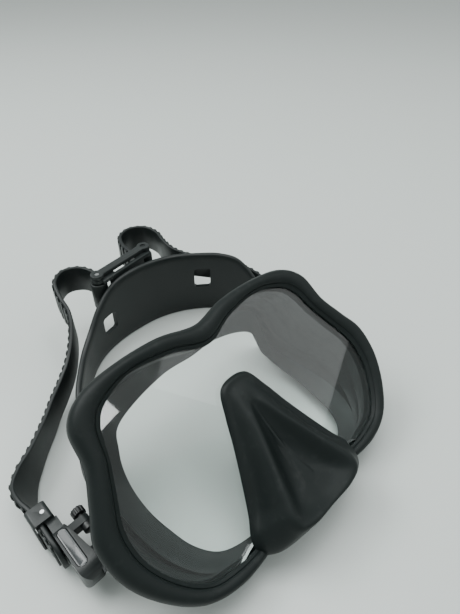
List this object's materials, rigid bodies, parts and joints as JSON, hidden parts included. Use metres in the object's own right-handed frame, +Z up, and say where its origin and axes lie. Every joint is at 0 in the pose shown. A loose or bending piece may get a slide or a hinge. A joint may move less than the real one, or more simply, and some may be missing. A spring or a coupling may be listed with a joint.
{
  "type": "diving mask",
  "caption": "Single-lens diving mask with a soft skirt, moulded nose pocket, side buckles and a ribbed strap looped through a clip on a wide rear pad.",
  "frame": {"origin": "centre of the whole outline on the table the mask lies on", "axes": "+X across the face towards the wearer's left, +Y from the nose towards the rear pad, +Z up from the table"},
  "size_m": [0.1984, 0.2214, 0.0766],
  "materials": {
    "silicone": "matt",
    "glass": "clear",
    "hard_black": "satin",
    "steel": "satin",
    "grey_plastic": "satin",
    "gloss_grey": "glossy",
    "strap_rubber": "satin",
    "dark_plastic": "satin"
  },
  "bodies": {
    "mask": {"skirt": "silicone", "inner_seal": "silicone", "nose_pocket": "silicone", "lens": "glass", "lens_subframe": "hard_black", "lug_left": "silicone", "lug_right": "silicone", "pivot_pin_left": "steel", "pivot_pin_right": "steel", "pivot_washer_left": "grey_plastic", "pivot_washer_right": "grey_plastic"},
    "strap": {"buckle_frame_left": "dark_plastic", "buckle_frame_right": "dark_plastic", "strap_keeper_left": "dark_plastic", "strap_keeper_right": "dark_plastic", "roller_axle_left": "steel", "roller_axle_right": "steel", "spring_upper_left": "steel", "spring_lower_left": "steel", "spring_upper_right": "steel", "spring_lower_right": "steel", "strap_left": "strap_rubber", "strap_right": "strap_rubber", "head_pad": "strap_rubber", "clip_base": "dark_plastic", "clip_rivets": "steel", "loop_pin_left": "steel", "loop_pin_right": "steel"},
    "button_upper_left": {"button_upper_left": "gloss_grey"},
    "button_lower_left": {"button_lower_left": "gloss_grey"},
    "latch_left": {"latch_left": "dark_plastic"},
    "strap_roller_left": {"strap_roller_left": "dark_plastic"},
    "loop_roller_left": {"loop_roller_left": "dark_plastic"},
    "button_upper_right": {"button_upper_right": "gloss_grey"},
    "button_lower_right": {"button_lower_right": "gloss_grey"},
    "latch_right": {"latch_right": "dark_plastic"},
    "strap_roller_right": {"strap_roller_right": "dark_plastic"},
    "loop_roller_right": {"loop_roller_right": "dark_plastic"},
    "clip_lever": {"clip_lever": "dark_plastic"}
  },
  "joints": [
    {"name": "strap_swing", "type": "hinge", "parent": "mask", "child": "strap", "pos_m": [-0.0019, -0.0546, 0.01475], "axis": [1, 0, 0], "range_deg": [-110, 35]},
    {"name": "press_upper_left", "type": "slide", "parent": "strap", "child": "button_upper_left", "axis": [0, 0, -1], "range_m": [0, 0.0015], "stiffness_N_per_m": 250, "deforming": ["spring_upper_left"]},
    {"name": "press_lower_left", "type": "slide", "parent": "strap", "child": "button_lower_left", "axis": [0, 0, 1], "range_m": [0, 0.0015], "stiffness_N_per_m": 250, "deforming": ["spring_lower_left"]},
    {"name": "latch_push_left", "type": "slide", "parent": "strap", "child": "latch_left", "axis": [0, -1, 0], "range_m": [0, 0.0015], "stiffness_N_per_m": 150},
    {"name": "roller_turn_left", "type": "hinge", "parent": "strap", "child": "strap_roller_left", "pos_m": [-0.092, -0.0248, 0.0117], "axis": [0, 0, 1], "continuous": true},
    {"name": "loop_roller_turn_left", "type": "hinge", "parent": "strap", "child": "loop_roller_left", "pos_m": [0.00012, 0.06794, 0.0375], "axis": [0, 0, 1], "continuous": true},
    {"name": "press_upper_right", "type": "slide", "parent": "strap", "child": "button_upper_right", "axis": [0, 0, -1], "range_m": [0, 0.0015], "stiffness_N_per_m": 250, "deforming": ["spring_upper_right"]},
    {"name": "press_lower_right", "type": "slide", "parent": "strap", "child": "button_lower_right", "axis": [0, 0, 1], "range_m": [0, 0.0015], "stiffness_N_per_m": 250, "deforming": ["spring_lower_right"]},
    {"name": "latch_push_right", "type": "slide", "parent": "strap", "child": "latch_right", "axis": [0, -1, 0], "range_m": [0, 0.0015], "stiffness_N_per_m": 150},
    {"name": "roller_turn_right", "type": "hinge", "parent": "strap", "child": "strap_roller_right", "pos_m": [0.0882, -0.0248, 0.0117], "axis": [0, 0, 1], "continuous": true},
    {"name": "loop_roller_turn_right", "type": "hinge", "parent": "strap", "child": "loop_roller_right", "pos_m": [0.03908, 0.07446, 0.0375], "axis": [0, 0, 1], "continuous": true},
    {"name": "clip_lever_swing", "type": "hinge", "parent": "strap", "child": "clip_lever", "pos_m": [0.00012, 0.06794, 0.0505], "axis": [0, 0, 1], "range_deg": [0, 75]}
  ]
}
